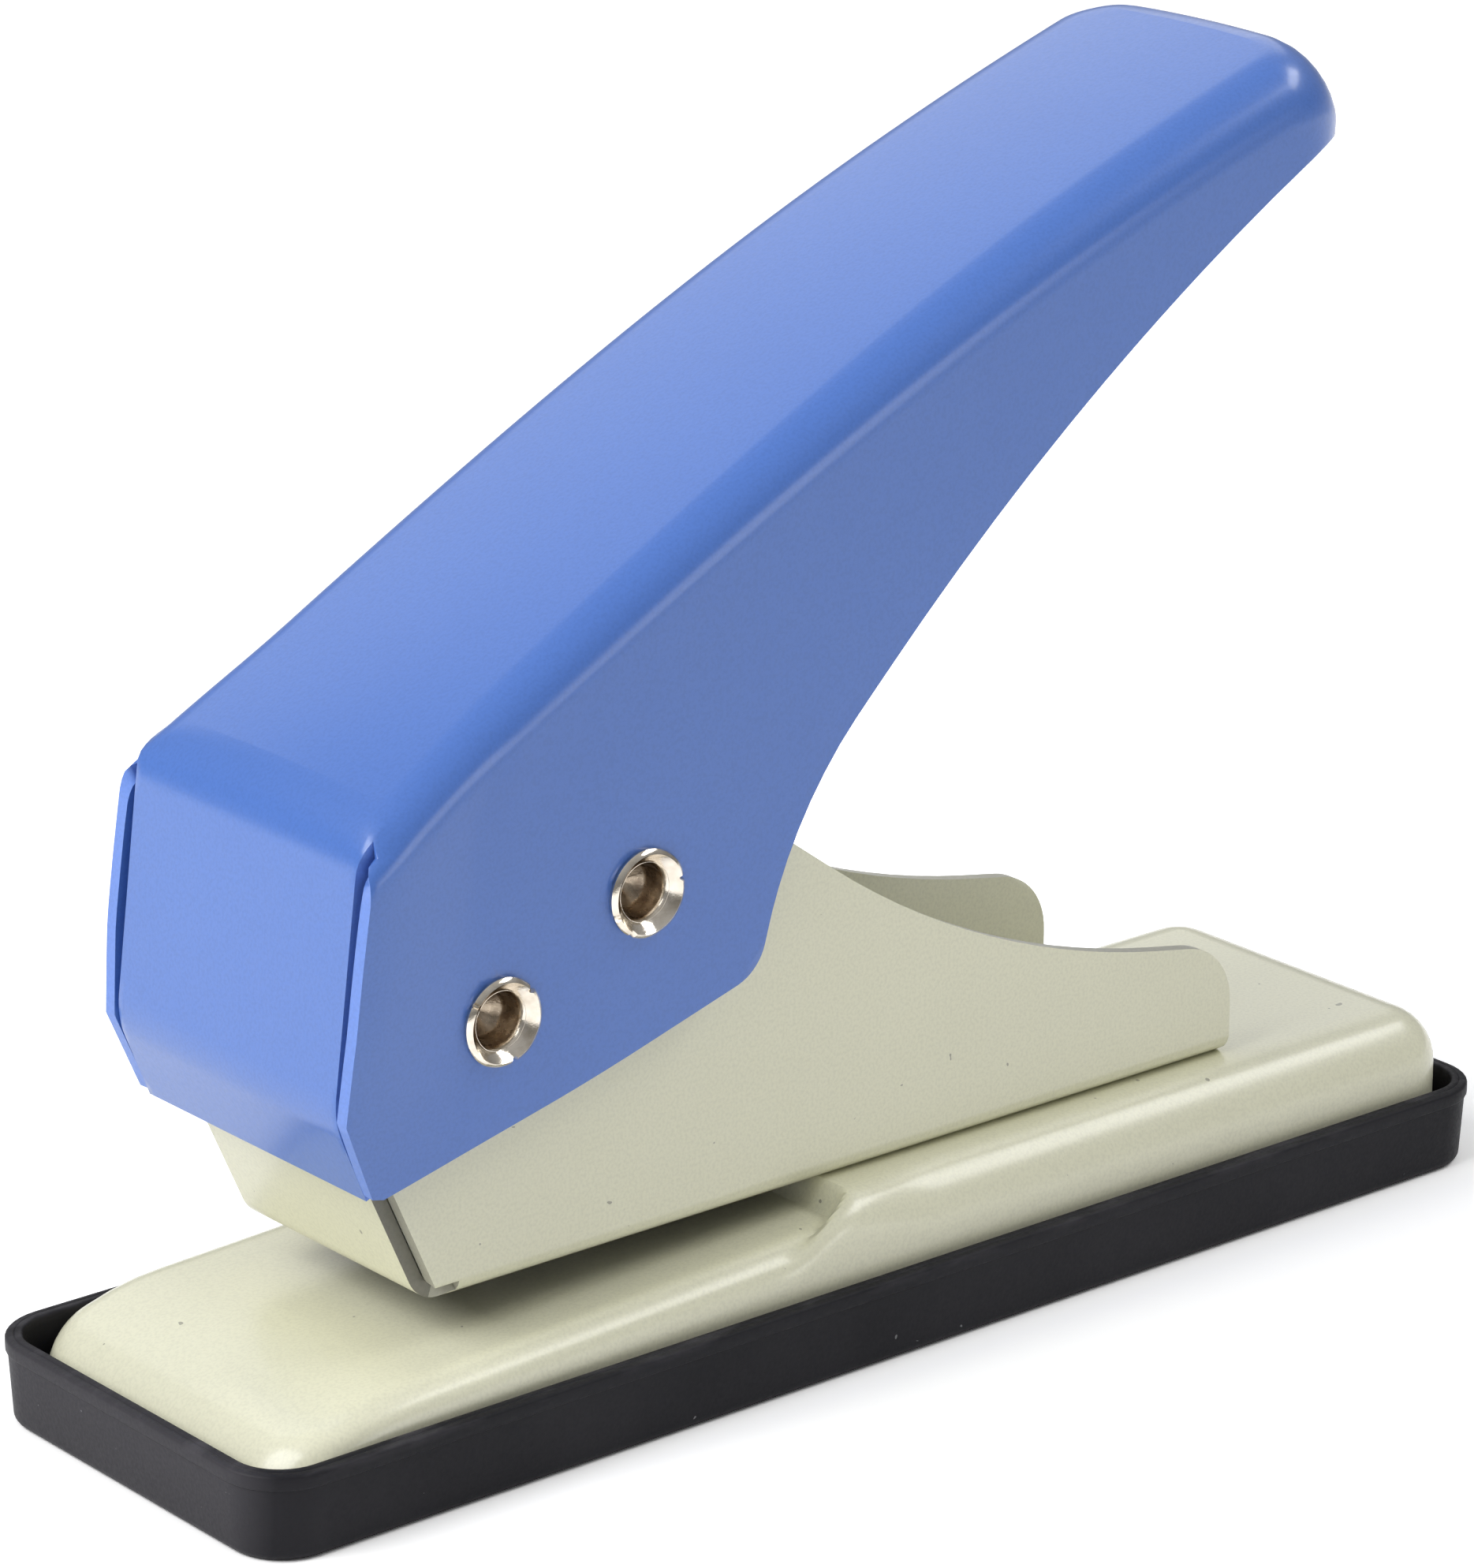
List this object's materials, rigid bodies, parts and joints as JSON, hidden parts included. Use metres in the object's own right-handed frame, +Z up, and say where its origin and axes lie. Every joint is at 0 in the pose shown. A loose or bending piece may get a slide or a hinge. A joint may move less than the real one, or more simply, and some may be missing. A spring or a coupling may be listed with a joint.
{
  "type": "single hole punch",
  "caption": "Desktop paper punch with a sloping pressed lever on a folded bracket, a sprung cutting pin over a die, a drawn base with a paper stop, and a chip tray that pulls off.",
  "frame": {"origin": "centre of the chip tray's underside, on the desk", "axes": "+X from the punching end towards the lever's tip, +Y to the left across the tray, +Z up"},
  "size_m": [0.11, 0.0324, 0.0843],
  "materials": {
    "blue_paint": "satin gloss blue paint",
    "cream_paint": "satin pale grey-green cream paint",
    "tray_plastic": "matte black moulded plastic",
    "nickel": "bright warm nickel plate",
    "tool_steel": "ground steel",
    "spring_steel": "drawn spring wire",
    "spacer_nylon": "natural nylon"
  },
  "bodies": {
    "frame": {"base_plate": "cream_paint", "die_ring": "tool_steel", "bracket": "cream_paint", "punch_guide": "tool_steel", "base_rivet_1": "tool_steel", "base_rivet_2": "tool_steel", "base_rivet_3": "tool_steel", "base_rivet_4": "tool_steel", "return_spring": "spring_steel"},
    "handle": {"handle": "blue_paint", "pivot_shaft": "nickel", "pivot_spacer_left": "spacer_nylon", "pivot_spacer_right": "spacer_nylon", "drive_shaft": "nickel", "drive_spacer_left": "spacer_nylon", "drive_spacer_right": "spacer_nylon"},
    "punch": {"punch_pin": "tool_steel", "spring_washer": "tool_steel", "retaining_clip": "tool_steel"},
    "tray": {"chip_tray": "tray_plastic"}
  },
  "joints": [
    {"name": "handle_pivot", "type": "hinge", "parent": "frame", "child": "handle", "pos_m": [-0.0336, 0, 0.0311], "axis": [0, 1, 0], "range_deg": [0, 25], "stiffness_Nm_per_rad": 0.24, "springref_deg": -30.94},
    {"name": "punch_slide", "type": "slide", "parent": "frame", "child": "punch", "axis": [0, 0, -1], "range_m": [0, 0.0056], "deforming": ["return_spring"]},
    {"name": "tray_pull", "type": "slide", "parent": "frame", "child": "tray", "axis": [0, 0, -1], "range_m": [0, 0.012]}
  ],
  "couplings": [
    {"joint": "punch_slide", "follows": "handle_pivot", "m_per_rad": 0.012673}
  ]
}
